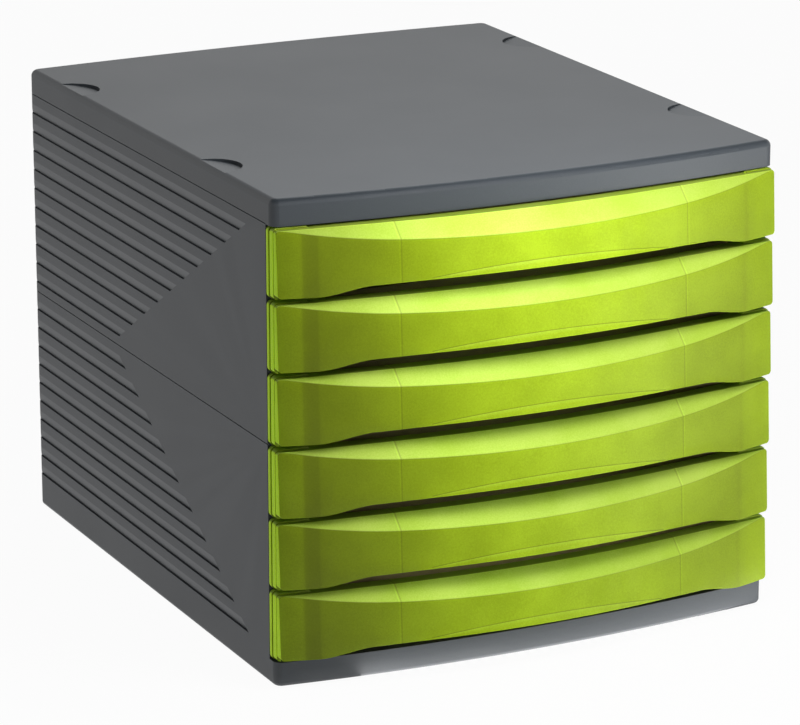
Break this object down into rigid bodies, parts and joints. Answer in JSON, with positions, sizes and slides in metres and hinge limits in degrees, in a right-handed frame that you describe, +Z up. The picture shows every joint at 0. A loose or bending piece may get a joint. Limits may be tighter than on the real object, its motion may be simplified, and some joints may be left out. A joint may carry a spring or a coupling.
{
  "type": "drawer file box",
  "caption": "Desktop file box with a lid, a ribbed casing and stacked pull-out trays with bow-fronted translucent covers, for A4 papers.",
  "frame": {"origin": "middle of the outline, at the surface that the foot pads stand on", "axes": "+Z up, -Y towards the drawer fronts, +X to the right for someone facing the fronts"},
  "size_m": [0.28, 0.3533, 0.2515],
  "materials": {
    "casing": "matte",
    "tray": "satin",
    "front": "satin",
    "foot": "matte"
  },
  "bodies": {
    "casing": {"top_cover": "casing", "upper_housing": "casing", "lower_housing": "casing", "foot_pad_front_left": "foot", "foot_pad_front_right": "foot", "foot_pad_back_left": "foot", "foot_pad_back_right": "foot"},
    "drawer_1": {"drawer_tray_1": "tray", "drawer_front_1": "front"},
    "drawer_2": {"drawer_tray_2": "tray", "drawer_front_2": "front"},
    "drawer_3": {"drawer_tray_3": "tray", "drawer_front_3": "front"},
    "drawer_4": {"drawer_tray_4": "tray", "drawer_front_4": "front"},
    "drawer_5": {"drawer_tray_5": "tray", "drawer_front_5": "front"},
    "drawer_6": {"drawer_tray_6": "tray", "drawer_front_6": "front"}
  },
  "joints": [
    {"name": "drawer_1_slide", "type": "slide", "parent": "casing", "child": "drawer_1", "axis": [0, -1, 0], "range_m": [0, 0.25]},
    {"name": "drawer_2_slide", "type": "slide", "parent": "casing", "child": "drawer_2", "axis": [0, -1, 0], "range_m": [0, 0.25]},
    {"name": "drawer_3_slide", "type": "slide", "parent": "casing", "child": "drawer_3", "axis": [0, -1, 0], "range_m": [0, 0.25]},
    {"name": "drawer_4_slide", "type": "slide", "parent": "casing", "child": "drawer_4", "axis": [0, -1, 0], "range_m": [0, 0.25]},
    {"name": "drawer_5_slide", "type": "slide", "parent": "casing", "child": "drawer_5", "axis": [0, -1, 0], "range_m": [0, 0.25]},
    {"name": "drawer_6_slide", "type": "slide", "parent": "casing", "child": "drawer_6", "axis": [0, -1, 0], "range_m": [0, 0.25]}
  ]
}
